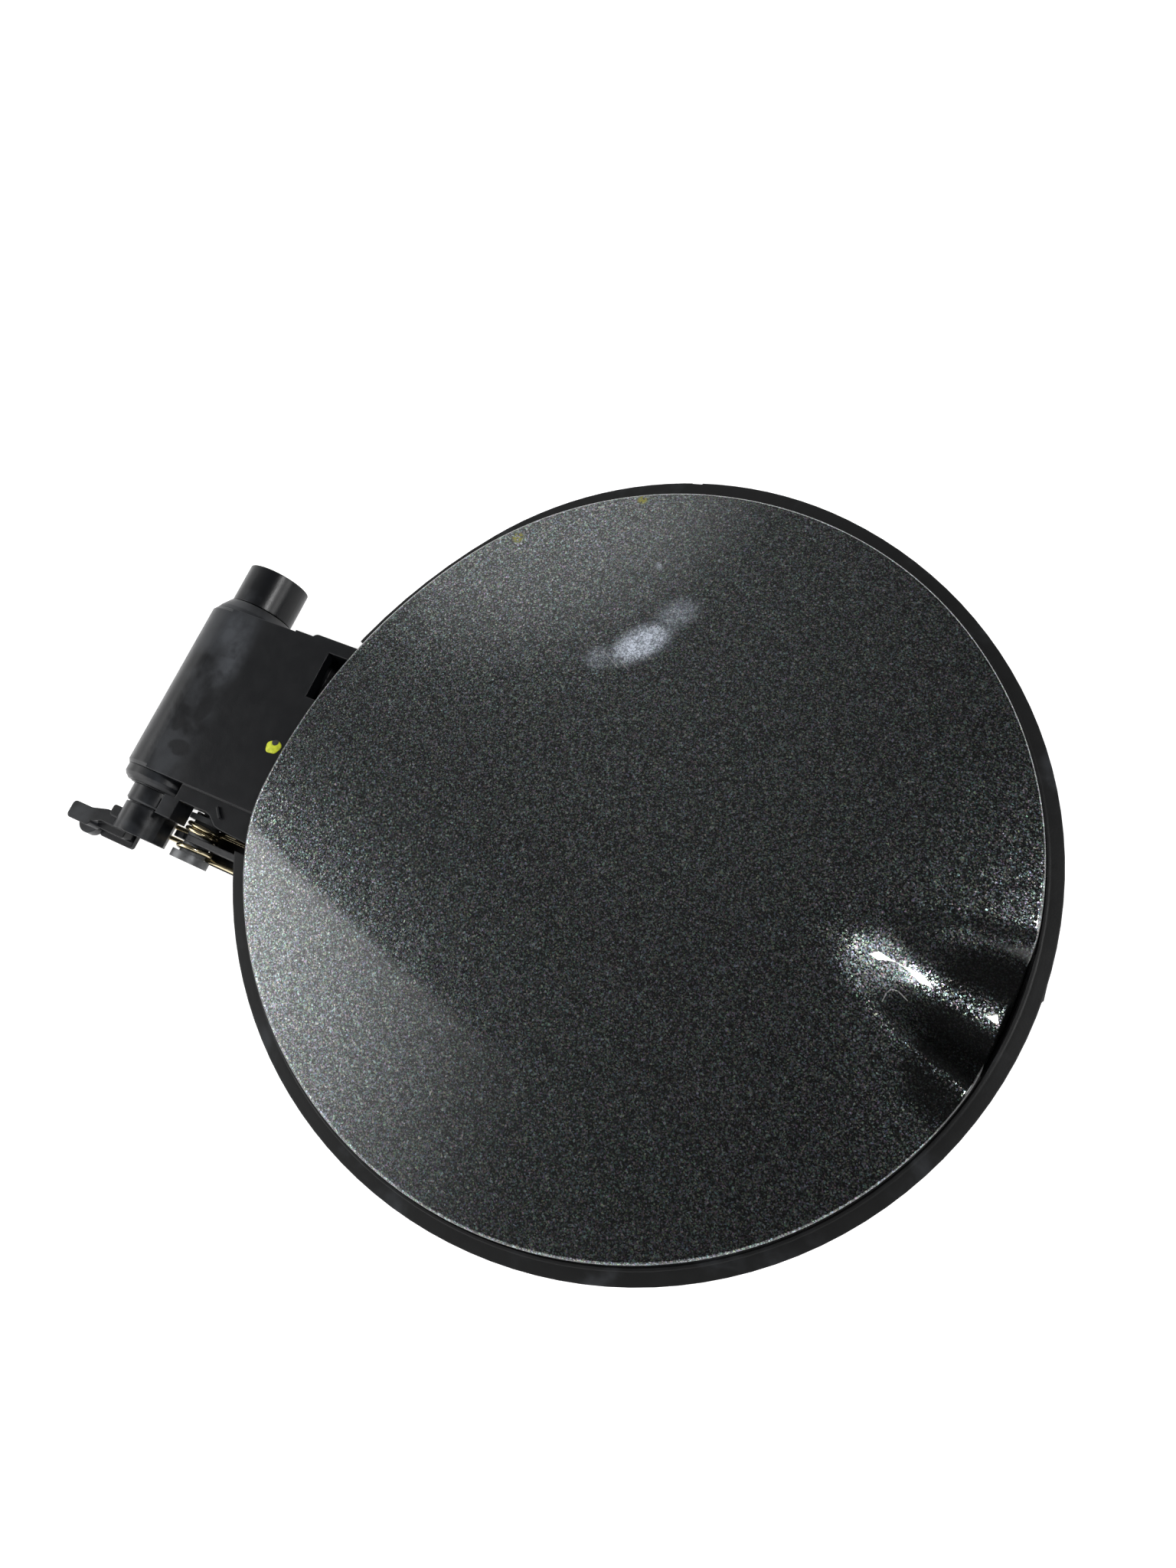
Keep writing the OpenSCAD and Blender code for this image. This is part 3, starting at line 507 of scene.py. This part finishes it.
def new_piece(name, mesh, body, material):
    """Puts a mesh in the scene as a smooth piece that rides on a body."""
    obj = bpy.data.objects.new(name, mesh)
    bpy.context.scene.collection.objects.link(obj)
    mesh.materials.append(material)
    for face in mesh.polygons:
        face.use_smooth = True
    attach(obj, body)
    return obj


# Shape of the lid

class LidShape:
    """The lid's outline and outer surface, from its settings, about the lid's centre."""

    def __init__(self, lid):
        self.lid = lid
        r, flat = lid.radius, lid.flat_radius
        grow, join = 2.6 * MM, math.radians(-80.0)
        flat_inset, flat_shift = 2 * MM, -19.1 * MM
        upper_radius, corner_radius = 79.5 * MM, 38 * MM
        self.join = join
        main = (Vector((0.0, 0.0)), r)
        left = (-grow * Vector((math.cos(join), math.sin(join))), r + grow)
        side = (Vector((flat - r + flat_inset, flat_shift)), flat)
        upper = (self.touching(main, side, upper_radius, 1), upper_radius)
        corner = (self.touching(left, side, corner_radius, -1), corner_radius)
        bearings = [join, self.bearing(upper[0] - main[0]), self.bearing(upper[0] - side[0]),
                    self.bearing(corner[0] - side[0]), self.bearing(corner[0] - left[0]),
                    join + 2 * math.pi]
        arcs = [main, upper, side, corner, left]
        self.arcs = [(c, rad, a, b) for (c, rad), a, b in zip(arcs, bearings, bearings[1:])]
        self.dome_radius = (r * r + lid.crown ** 2) / (2 * lid.crown)
        self.dome_z = lid.edge_height + lid.crown - self.dome_radius
        start_z = self.dome(Vector((lid.recess_start, 0.0)))
        fall = math.atan((start_z - lid.edge_height + lid.recess_depth) / (r - lid.recess_start))
        rise = lid.recess_half - fall
        small = lid.recess_small
        turn = Matrix.Rotation(lid.recess_angle, 3, "Z")
        self.recess_way = (turn @ Vector((1.0, 0.0, 0.0))).xy
        self.cone_start = turn @ Vector((lid.recess_start - small * math.sin(rise), 0.0,
                                         start_z + small * math.cos(rise)))
        self.cone_axis = turn @ Vector((math.cos(rise), 0.0, math.sin(rise)))

    def bearing(self, v):
        """Direction of v, counted on from the outline's first joint."""
        a = math.atan2(v.y, v.x)
        return a + 2 * math.pi if a < self.join else a

    def touching(self, one, two, radius, side):
        """Centre of a circle that touches two circles from inside."""
        between = two[0] - one[0]
        d = between.length
        a, b = one[1] - radius, two[1] - radius
        along = (a * a - b * b + d * d) / (2 * d)
        across = math.sqrt(max(0.0, a * a - along * along))
        u = between / d
        return one[0] + u * along + Vector((-u.y, u.x)) * (side * across)

    def over(self, p, drop=0.0):
        """The point of the outer surface over p, moved down by drop."""
        return Vector((p.x, p.y, self.top(p) - drop))

    def outline(self):
        """Points all round the outline with their outward directions."""
        step = math.radians(1.0)
        points = []
        for centre, radius, a, b in self.arcs:
            count = max(2, math.ceil((b - a) * radius / self.lid.radius / step))
            for i in range(count):
                t = a + (b - a) * i / count
                out = Vector((math.cos(t), math.sin(t)))
                points.append((centre + out * radius, out))
        return points

    def dome(self, p):
        """Height of the crowned surface."""
        return self.dome_z + math.sqrt(self.dome_radius ** 2 - p.length_squared)

    def cone(self, p):
        """Height of the recess cone's lower side over p, or None beside it."""
        off = Vector((*(p - self.cone_start.xy), 0.0))
        axis, small = self.cone_axis, self.lid.recess_small
        widen = math.tan(self.lid.recess_half)
        # The point h above the cone's start is on the cone where off^2 + h^2 - s^2 = (small + s widen)^2,
        # with s = off.axis + h axis.z as its distance along the axis
        s0 = off.dot(axis)
        k = 1 + widen * widen
        a = 1 - k * axis.z * axis.z
        b = -2 * axis.z * (k * s0 + small * widen)
        c = off.length_squared - k * s0 * s0 - 2 * small * widen * s0 - small ** 2
        inside = b * b - 4 * a * c
        if inside <= 0:
            return None
        h = (-b - math.sqrt(inside)) / (2 * a)
        if s0 + h * axis.z < -small:
            return None
        return h + self.cone_start.z

    def top(self, p):
        """Height of the outer surface: the crown, with the recess blended in."""
        dome = self.dome(p)
        cone = self.cone(p)
        if cone is None:
            return dome
        part = (p.dot(self.recess_way) - self.lid.recess_start) / (self.lid.radius - self.lid.recess_start)
        cone -= self.lid.recess_hollow * (1 - math.cos(math.tau * min(max(part, 0.0), 1.0))) / 2
        soft = self.lid.recess_blend
        near = max(soft - abs(dome - cone), 0.0) / soft
        return min(dome, cone) - near ** 3 * soft / 6.0


def skin_rings(shape):
    """Rings of points over the outer face, down the edge, round the hem and over the inner face."""
    lid, edge = shape.lid, shape.outline()
    rounding, thick = lid.edge_round, lid.thickness
    hem_z, hem_least = lid.edge_height - lid.hem, 0.1 * MM
    outer_rows, edge_rows, inner_rows = 64, 6, 24
    rings = []
    for i in range(1, outer_rows + 1):
        rings.append([shape.over((p - out * rounding) * (i / outer_rows)) for p, out in edge])
    for i in range(1, edge_rows + 1):
        turn = i / edge_rows * math.pi / 2
        ring = []
        for p, out in edge:
            base = p - out * rounding
            ring.append(Vector((*(base + out * rounding * math.sin(turn)),
                                shape.top(base) - rounding * (1 - math.cos(turn)))))
        rings.append(ring)
    bottoms = [min(hem_z, shape.top(p) - thick - hem_least) for p, _ in edge]
    rings.append([Vector((*p, z)) for (p, _), z in zip(edge, bottoms)])
    inner = [p - out * thick for p, out in edge]
    rings.append([Vector((*p, z)) for p, z in zip(inner, bottoms)])
    rings.append([Vector((*p, max(z, shape.top(p) - thick))) for p, z in zip(inner, bottoms)])
    for i in range(inner_rows - 1, 0, -1):
        rings.append([shape.over(p * (i / inner_rows), thick) for p in inner])
    return rings


def skin_mesh(shape):
    """The skin as one closed sheet, in its place on the door."""
    centre, middle = Vector(shape.lid.centre), Vector((0.0, 0.0))
    bm = bmesh.new()
    placed = [[bm.verts.new(point + centre) for point in ring] for ring in skin_rings(shape)]
    top = bm.verts.new(shape.over(middle) + centre)
    under = bm.verts.new(shape.over(middle, shape.lid.thickness) + centre)
    count = len(placed[0])
    for i in range(count):
        j = (i + 1) % count
        bm.faces.new((top, placed[0][i], placed[0][j]))
        bm.faces.new((under, placed[-1][j], placed[-1][i]))
        for low, high in zip(placed, placed[1:]):
            bm.faces.new((low[i], high[i], high[j], low[j]))
    return finished_mesh("lid_skin", bm)


# Spring wire

def tube_mesh(name, path, radius, sides):
    """A round wire along a path of points, with closed ends."""
    bm = bmesh.new()
    rings = []
    up = Vector((0.05, 0.1, 1.0))
    for i, p in enumerate(path):
        ahead = path[min(i + 1, len(path) - 1)] - path[max(i - 1, 0)]
        across = ahead.cross(up).normalized()
        up = across.cross(ahead).normalized()
        ring = []
        for k in range(sides):
            t = k * math.tau / sides
            ring.append(bm.verts.new(p + radius * (math.cos(t) * across + math.sin(t) * up)))
        rings.append(ring)
    for low, high in zip(rings, rings[1:]):
        for k in range(sides):
            m = (k + 1) % sides
            bm.faces.new((low[k], low[m], high[m], high[k]))
    bm.faces.new(reversed(rings[0]))
    bm.faces.new(rings[-1])
    return finished_mesh(name, bm)


def half_spring(side, turns, spring):
    """Path of one half of the spring, from the bridge to the end of its leg, in metres."""
    post_x, post_z = 13.8 * MM, -3.1 * MM
    ear_y, ear_half, gap = -33.2 * MM, 0.8 * MM, 0.1 * MM
    pitch = 2 * spring.wire + gap
    start_y = ear_y + side * (ear_half + spring.wire + gap)
    bridge_x, bend, leg_end_x = -5 * MM, 1.2 * MM, 41 * MM
    leg_z = post_z - spring.coil
    leg_steps, coil_steps = 13, 40
    path = []
    for degrees in range(0, 91, 15):
        t = math.radians(degrees)
        path.append(Vector((bridge_x + bend * (1 - math.cos(t)),
                            start_y - side * bend * (1 - math.sin(t)), leg_z)))
    bend_end = path[-1]
    for i in range(1, leg_steps):
        path.append(bend_end.lerp(Vector((post_x, start_y, leg_z)), i / leg_steps))
    for i in range(coil_steps * turns + 1):
        t = i * math.tau / coil_steps
        path.append(Vector((post_x + spring.coil * math.sin(t), start_y + side * pitch * i / coil_steps,
                            post_z - spring.coil * math.cos(t))))
    path.append(Vector((leg_end_x, start_y + side * pitch * turns, leg_z)))
    return path


# Paint dot on the arm

def dot_mesh():
    """A thin uneven drop of paint that lies on the arm's plate."""
    centre, radius, sides = Vector((28.95, -6.1, 11.0)) * MM, 1.9 * MM, 48
    crown, shoulder, sunk = (Vector((0, 0, z * MM)) for z in (0.12, 0.1, -0.02))
    bm = bmesh.new()
    middle = bm.verts.new(centre + crown)
    rim, foot = [], []
    for k in range(sides):
        t = k * math.tau / sides
        ripple = 1 + 0.09 * math.sin(2 * t + 0.6) + 0.05 * math.sin(5 * t)
        out = Vector((math.cos(t), math.sin(t), 0)) * radius * ripple
        rim.append(bm.verts.new(centre + out * 0.85 + shoulder))
        foot.append(bm.verts.new(centre + out + sunk))
    for k in range(sides):
        m = (k + 1) % sides
        bm.faces.new((middle, rim[k], rim[m]))
        bm.faces.new((rim[k], foot[k], foot[m], rim[m]))
    bm.faces.new(reversed(foot))
    return finished_mesh("paint_dot", bm)


def dot_material():
    """Uneven yellow marking paint, with a dark bite on the cap's side."""
    material, g, shader = new_material("yellow_mark")
    place = g.place()
    patch = g.noise(place, 1100.0, 3.0, 0.6)
    bite = spot(g, place, Vector((28.9, -4.9, 11.1)) * MM, 0.9 * MM, 0.12 * MM)
    yellow = g.mix(g.ramp(patch, 0.35, 0.7), (0.62, 0.68, 0.02, 1.0), (0.42, 0.47, 0.015, 1.0))
    g.put(shader.inputs["Base Color"], g.mix(bite, yellow, (0.01, 0.01, 0.01, 1.0)))
    g.put(shader.inputs["Roughness"], g.ramp(patch, 0.3, 0.7, 0.4, 0.6))
    return material


# Operators: one for each piece or group of like pieces

class FUELDOOR_OT_lid(bpy.types.Operator):
    """Builds the painted skin with its pressed finger recess"""
    bl_idname = "fuel_door.build_lid"
    bl_label = "Build Painted Lid"

    def execute(self, context):
        shape = LidShape(context.scene.fuel_door_lid)
        skin = new_piece("painted_skin", skin_mesh(shape), "door", paint_material())
        skin.data.set_sharp_from_angle(angle=math.radians(50))
        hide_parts("outer_skin")
        return {"FINISHED"}


class FUELDOOR_OT_plastics(bpy.types.Operator):
    """Gives the moulded black pieces their plastics"""
    bl_idname = "fuel_door.finish_plastics"
    bl_label = "Finish Black Plastics"

    def execute(self, context):
        s = context.scene.fuel_door_plastic
        hinge = plastic_material("hinge_plastic", s.hinge, s.dust, 0.62, 0.3, s.edge_round, barrel=True)
        shaft = plastic_material("shaft_plastic", s.hinge, s.dust, 0.4, 0.3, s.edge_round)
        bush = plastic_material("bush_plastic", s.hinge, s.dust, 0.5, 0.34, s.edge_round)
        panel = plastic_material("panel_plastic", s.panel, s.dust, 0.3, 0.42, s.edge_round)
        for name, material in (("hinge_arm", hinge), ("crank_shaft", shaft), ("shaft_cap", shaft),
                               ("upper_bush", bush), ("lower_bush", bush), ("thrust_washer", bush),
                               ("inner_panel", panel), ("latch_catch", panel)):
            wear(NODES[name], material)
        return {"FINISHED"}


class FUELDOOR_OT_metals(bpy.types.Operator):
    """Gives screws, clips, inserts, post and sleeves their finishes"""
    bl_idname = "fuel_door.finish_metals"
    bl_label = "Finish Metal and Small Pieces"

    def execute(self, context):
        clip = metal_material("clip_steel", (0.35, 0.35, 0.36), 0.35)
        post = metal_material("post_steel", (0.20, 0.205, 0.21), 0.42, 0.5)
        screw = metal_material("screw_steel", (0.10, 0.10, 0.105), 0.4)
        brass = metal_material("insert_brass", (0.55, 0.40, 0.16), 0.35)
        sleeve = dull_material("sleeve_plastic", (0.12, 0.125, 0.13), 0.45)
        foam = dull_material("foam", (0.02, 0.02, 0.02), 0.9)
        rubber = dull_material("stop_rubber", (0.012, 0.012, 0.012), 0.75)
        for name, material in (("skin_clips", clip), ("post_clip", clip), ("shaft_clip", clip),
                               ("spring_post", post), ("arm_screws", screw), ("catch_screws", screw),
                               ("panel_inserts", brass), ("coil_sleeves", sleeve), ("bond_pads", foam),
                               ("bump_stops", rubber)):
            wear(NODES[name], material)
        return {"FINISHED"}


class FUELDOOR_OT_spring(bpy.types.Operator):
    """Builds the detent spring as one round plated wire"""
    bl_idname = "fuel_door.build_spring"
    bl_label = "Build Detent Spring"

    def execute(self, context):
        spring = context.scene.fuel_door_spring
        path = half_spring(-1, 1, spring)[::-1] + half_spring(1, 2, spring)
        mesh = tube_mesh("spring_wire", path, spring.wire, spring.ring)
        plated = metal_material("spring_plating", tuple(spring.plating), 0.18, 0.35)
        wire = new_piece("spring_wire", mesh, "door", plated)
        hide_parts("detent_spring")
        return {"FINISHED"}


class FUELDOOR_OT_marks(bpy.types.Operator):
    """Adds the paint dot on the hinge arm"""
    bl_idname = "fuel_door.build_marks"
    bl_label = "Build Paint Dot"

    def execute(self, context):
        new_piece("paint_dot", dot_mesh(), "door", dot_material())
        return {"FINISHED"}


# Stage

CAMERA_PLACE = Vector((0.17982, -0.04136, 0.24260))
CAMERA_RIGHT = Vector((0.89062, 0.41044, -0.19582))
CAMERA_DOWN = Vector((0.33849, -0.88586, -0.31729))

# Where the studio's lights stand, as directions; a side is square to the plane that bounds a light
GLOW_AT = (-0.53, 0.58, 0.62)
WINDOW_SIDE = (-0.2267, -0.947, -0.2288)
BAND_SIDE = (0.0, -0.75, -0.66)
SIDE_AT = (0.906, 0.25, 0.342)

# The small lamp: what it shines on, from where, how far off, and its two sides in metres
LAMP_ON, LAMP_FROM = Vector((0.1744, -0.0018, 0.0164)), Vector((0.550, 0.226, 0.804))
LAMP_DISTANCE, LAMP_SIZE = 1.2, (0.16, 0.09)


class FUELDOOR_OT_stage(bpy.types.Operator):
    """Sets the camera, the pale floor and the studio light"""
    bl_idname = "fuel_door.set_stage"
    bl_label = "Set Stage"

    def execute(self, context):
        s = context.scene.fuel_door_stage
        self.camera(context, s)
        self.floor(context, s)
        self.world(context, s)
        self.lamps(s)
        context.scene.view_settings.view_transform = "Standard"
        return {"FINISHED"}

    def camera(self, context, s):
        """The camera stands where the photograph was taken from."""
        data = bpy.data.cameras.new("camera")
        data.sensor_fit = "VERTICAL"
        data.sensor_height = 36.0
        data.lens = s.lens
        data.clip_start = 0.01
        camera = bpy.data.objects.new("camera", data)
        right = CAMERA_RIGHT.normalized()
        up = -(CAMERA_DOWN - right * CAMERA_DOWN.dot(right)).normalized()
        turn = Matrix((right, up, right.cross(up))).transposed().to_4x4()
        camera.matrix_world = Matrix.Translation(CAMERA_PLACE) @ turn
        context.scene.collection.objects.link(camera)
        context.scene.camera = camera

    def floor(self, context, s):
        """A wide pale floor that shows as white and keeps the shadow."""
        mesh = bpy.data.meshes.new("floor")
        half, z = 4.0, s.floor_height
        mesh.from_pydata([(-half, -half, z), (half, -half, z), (half, half, z), (-half, half, z)], [],
                         [(0, 1, 2, 3)])
        floor = bpy.data.objects.new("floor", mesh)
        context.scene.collection.objects.link(floor)
        material, g, shader = new_material("floor_paper")
        shader.inputs["Roughness"].default_value = 0.9
        shader.inputs["Specular IOR Level"].default_value = 0.0
        shader.inputs["Base Color"].default_value = (0.6, 0.6, 0.6, 1.0)
        rays = g.add("ShaderNodeLightPath").outputs
        seen = largest(g, [rays["Is Camera Ray"], rays["Is Glossy Ray"], rays["Is Transmission Ray"]])
        shader.inputs["Emission Color"].default_value = (1.0, 1.0, 1.0, 1.0)
        g.put(shader.inputs["Emission Strength"], g.math("MULTIPLY", seen, 0.8))
        mesh.materials.append(material)

    def world(self, context, s):
        """A dim studio with a glow, a window, two low lights and pale walls; white to the camera."""
        world = bpy.data.worlds.new("studio")
        world.use_nodes = True
        context.scene.world = world
        g = Graph(world.node_tree)
        toward = g.add("ShaderNodeTexCoord").outputs["Generated"]
        along = g.add("ShaderNodeSeparateXYZ", {0: toward}).outputs
        x, y, z = along["X"], along["Y"], along["Z"]
        overhead = g.math("MULTIPLY", g.ramp(z, 0.35, 0.75, s.overhead * 0.3, s.overhead),
                          g.ramp(x, -0.3, 0.25, 1.2, 0.65))
        near = g.math("MAXIMUM", g.vector("DOT_PRODUCT", toward, GLOW_AT), 0.0)
        wide = g.math("MULTIPLY", g.math("POWER", near, 4.0), g.ramp(y, 0.0, 0.35, 0.02, 0.12))
        glow = g.math("ADD", wide, g.ramp(near, 0.945, 0.99))
        reach = g.math("MAXIMUM", g.math("DIVIDE", g.math("SUBTRACT", -0.2, x), 0.44), 0.0)
        window = g.math("MULTIPLY", g.ramp(g.vector("DOT_PRODUCT", toward, WINDOW_SIDE), -0.006, 0.014),
                        g.math("POWER", g.math("MINIMUM", reach, 1.2), 1.75))
        window = g.math("MULTIPLY", window, g.ramp(z, 0.3, 0.5))
        band = g.ramp(g.vector("DOT_PRODUCT", toward, BAND_SIDE), 0.05, 0.12)
        tilted = g.math("ADD", z, g.math("MULTIPLY", x, 0.35))
        walls = g.math("MAXIMUM", g.ramp(tilted, 0.2, 0.36, 1.0, 0.0), g.ramp(z, 0.1, 0.25, 1.0, 0.0))
        side = g.ramp(g.vector("DOT_PRODUCT", toward, SIDE_AT), 0.96, 0.988)
        light = overhead
        for part, strength in ((glow, s.glow), (window, s.window), (band, s.band), (walls, s.horizon),
                               (side, s.side)):
            light = g.math("ADD", light, g.math("MULTIPLY", part, strength))
        rays = g.add("ShaderNodeLightPath").outputs
        background = world.node_tree.nodes["Background"]
        background.inputs["Color"].default_value = (1.0, 1.0, 1.0, 1.0)
        g.put(background.inputs["Strength"], g.math("MAXIMUM", light, rays["Is Camera Ray"]))

    def lamps(self, s):
        """The small lamp that shines in the recess."""
        toward = LAMP_FROM.normalized()
        data = bpy.data.lights.new("recess_lamp", "AREA")
        data.shape = "RECTANGLE"
        data.size, data.size_y = LAMP_SIZE
        data.energy = s.recess_lamp
        lamp = bpy.data.objects.new("recess_lamp", data)
        turn = toward.to_track_quat("Z", "Y").to_matrix().to_4x4()
        lamp.matrix_world = Matrix.Translation(LAMP_ON + toward * LAMP_DISTANCE) @ turn
        bpy.context.scene.collection.objects.link(lamp)


class FUELDOOR_PT_sidebar(bpy.types.Panel):
    """Lists the fuel door's settings and its build steps"""
    bl_idname = "FUELDOOR_PT_sidebar"
    bl_label = "Fuel Door"
    bl_space_type = "VIEW_3D"
    bl_region_type = "UI"
    bl_category = "Fuel Door"

    def draw(self, context):
        for name, title in SETTINGS:
            box = self.layout.box()
            box.label(text=title)
            group = getattr(context.scene, name)
            for key in group.bl_rna.properties.keys():
                if key not in ("rna_type", "name"):
                    box.prop(group, key)
        for operator in OPERATORS:
            self.layout.operator(operator.bl_idname)


SETTINGS = (("fuel_door_lid", "Lid"), ("fuel_door_plastic", "Black plastics"),
            ("fuel_door_spring", "Detent spring"), ("fuel_door_stage", "Stage"))
GROUP_CLASSES = (LidSettings, PlasticSettings, SpringSettings, StageSettings)
OPERATORS = (FUELDOOR_OT_stage, FUELDOOR_OT_lid, FUELDOOR_OT_plastics, FUELDOOR_OT_metals,
             FUELDOOR_OT_spring, FUELDOOR_OT_marks)
CLASSES = GROUP_CLASSES + OPERATORS + (FUELDOOR_PT_sidebar,)


def register():
    """Registers the classes and hangs the settings on the scene."""
    for cls in CLASSES:
        bpy.utils.register_class(cls)
    for (name, _), cls in zip(SETTINGS, GROUP_CLASSES):
        setattr(bpy.types.Scene, name, PointerProperty(type=cls))


def unregister():
    """Takes the settings and the classes away again."""
    for name, _ in SETTINGS:
        delattr(bpy.types.Scene, name)
    for cls in reversed(CLASSES):
        bpy.utils.unregister_class(cls)


def main():
    """Builds every piece in order."""
    register()
    for operator in OPERATORS:
        group, name = operator.bl_idname.split(".")
        getattr(getattr(bpy.ops, group), name)()
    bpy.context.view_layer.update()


if __name__ == "__main__":
    main()
